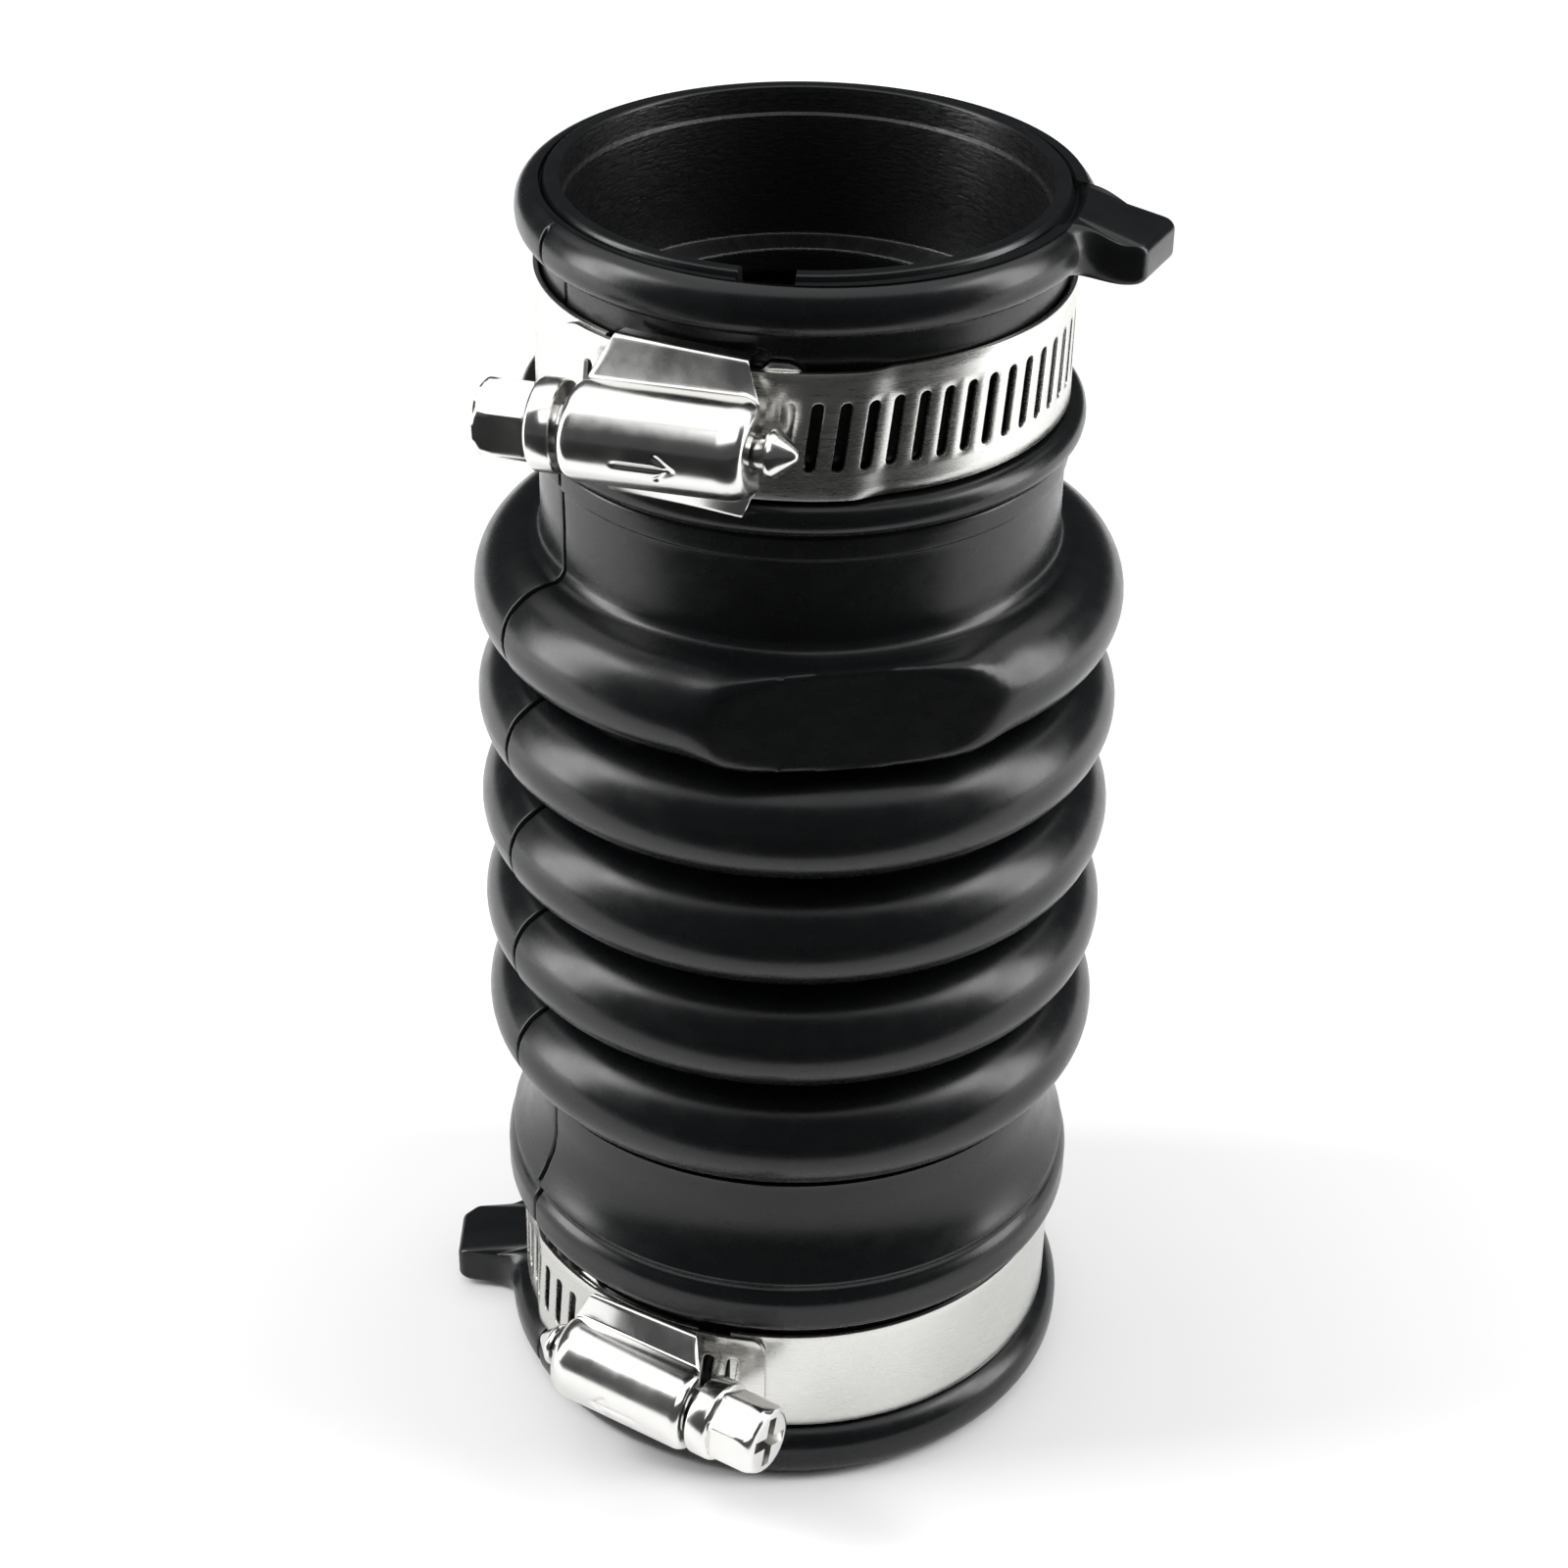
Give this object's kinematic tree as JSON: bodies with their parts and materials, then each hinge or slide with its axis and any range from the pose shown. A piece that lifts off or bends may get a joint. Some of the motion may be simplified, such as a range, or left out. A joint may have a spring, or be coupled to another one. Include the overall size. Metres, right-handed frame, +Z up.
{
  "type": "flexible pipe coupling",
  "caption": "Moulded rubber bellows coupling that joins two pipes of different size, with a worm-drive steel hose clamp on each cuff.",
  "frame": {"origin": "on the floor, at the middle of the object's footprint; the hose axis stands at X 2.024 mm, Y 5.450 mm", "axes": "+Z up along the hose axis from the larger cuff to the smaller, -Y towards the clamp housings, +X towards the upper pull tab"},
  "size_m": [0.082, 0.0848, 0.1558],
  "materials": {
    "rubber": "satin black moulded rubber with soft highlights",
    "band_steel": "semi-polished stainless strip with rolled slot edges",
    "bright_steel": "bright polished stainless steel"
  },
  "bodies": {
    "lower_end": {"lower_cuff": "rubber", "convolution_5": "rubber"},
    "lower_bellows": {"convolution_4": "rubber", "convolution_3": "rubber"},
    "upper_bellows": {"convolution_2": "rubber", "convolution_1": "rubber"},
    "upper_end": {"upper_cuff": "rubber"},
    "lower_clamp": {"lower_housing": "bright_steel", "lower_saddle": "band_steel"},
    "lower_clamp_band": {"lower_band": "band_steel"},
    "lower_clamp_screw": {"lower_screw": "bright_steel"},
    "upper_clamp": {"upper_housing": "bright_steel", "upper_saddle": "band_steel"},
    "upper_clamp_band": {"upper_band": "band_steel"},
    "upper_clamp_screw": {"upper_screw": "bright_steel"}
  },
  "joints": [
    {"name": "bellows_bend_side", "type": "hinge", "parent": "lower_end", "child": "lower_bellows", "pos_m": [0.00202, 0.00545, 0.05128], "axis": [0, 1, 0], "range_deg": [-12, 12], "stiffness_Nm_per_rad": 6, "deforming": ["convolution_5"]},
    {"name": "bellows_stretch", "type": "slide", "parent": "lower_bellows", "child": "upper_bellows", "axis": [0, 0, 1], "range_m": [-0.006, 0.008], "stiffness_N_per_m": 6000, "deforming": ["convolution_3"]},
    {"name": "bellows_bend_front", "type": "hinge", "parent": "upper_bellows", "child": "upper_end", "pos_m": [0.00202, 0.00545, 0.1076], "axis": [1, 0, 0], "range_deg": [-12, 12], "stiffness_Nm_per_rad": 6, "deforming": ["convolution_1"]},
    {"name": "lower_clamp_swivel", "type": "hinge", "parent": "lower_end", "child": "lower_clamp", "pos_m": [0.00202, 0.00545, 0.0147], "axis": [0, 0, 1], "continuous": true},
    {"name": "lower_screw_turn", "type": "hinge", "parent": "lower_clamp", "child": "lower_clamp_screw", "pos_m": [-0.01609, -0.02818, 0.0147], "axis": [-0.8293, 0.5573, -0.0401], "range_deg": [-360, 360]},
    {"name": "lower_band_feed", "type": "hinge", "parent": "lower_clamp", "child": "lower_clamp_band", "pos_m": [0.00202, 0.00545, 0.0147], "axis": [0, 0, 1], "range_deg": [-4.95, 4.95]},
    {"name": "upper_clamp_swivel", "type": "hinge", "parent": "upper_end", "child": "upper_clamp", "pos_m": [0.00202, 0.00545, 0.13915], "axis": [0, 0, 1], "continuous": true},
    {"name": "upper_screw_turn", "type": "hinge", "parent": "upper_clamp", "child": "upper_clamp_screw", "pos_m": [-0.01171, -0.02554, 0.13915], "axis": [0.9487, -0.3137, 0.0401], "range_deg": [-360, 360]},
    {"name": "upper_band_feed", "type": "hinge", "parent": "upper_clamp", "child": "upper_clamp_band", "pos_m": [0.00202, 0.00545, 0.13915], "axis": [0, 0, 1], "range_deg": [-5.7, 5.7]}
  ],
  "couplings": [
    {"joint": "lower_band_feed", "follows": "lower_screw_turn", "ratio": 0.013581},
    {"joint": "upper_band_feed", "follows": "upper_screw_turn", "ratio": -0.015587}
  ]
}
